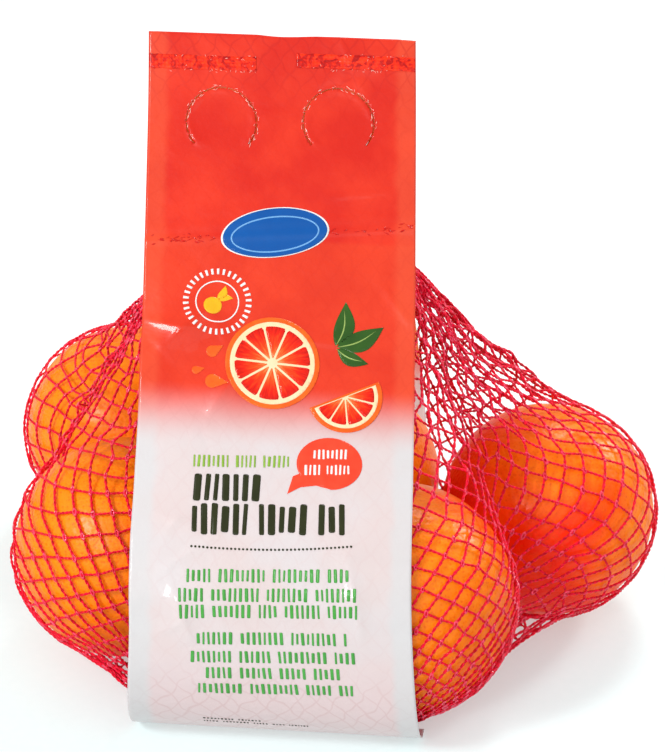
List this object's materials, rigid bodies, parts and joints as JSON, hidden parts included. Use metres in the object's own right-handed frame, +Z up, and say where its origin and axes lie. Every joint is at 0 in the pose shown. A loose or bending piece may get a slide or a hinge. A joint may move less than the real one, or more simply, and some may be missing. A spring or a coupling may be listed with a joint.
{
  "type": "net of oranges",
  "caption": "Retail net bag of oranges with a printed film panel, knitted net sides and a flat header slit for fingers.",
  "frame": {"origin": "on the ground, at the middle of the whole bag seen from above", "axes": "+Z up; the printed front panel faces -Y; +X is to the right when looking at the front panel"},
  "size_m": [0.2269, 0.1788, 0.196],
  "materials": {
    "net_and_fruit": "matte",
    "printed_film": "glossy",
    "plain_film": "glossy"
  },
  "bodies": {
    "root": {"filled_net": "net_and_fruit", "front_film": "printed_film", "back_film": "plain_film"}
  },
  "joints": []
}
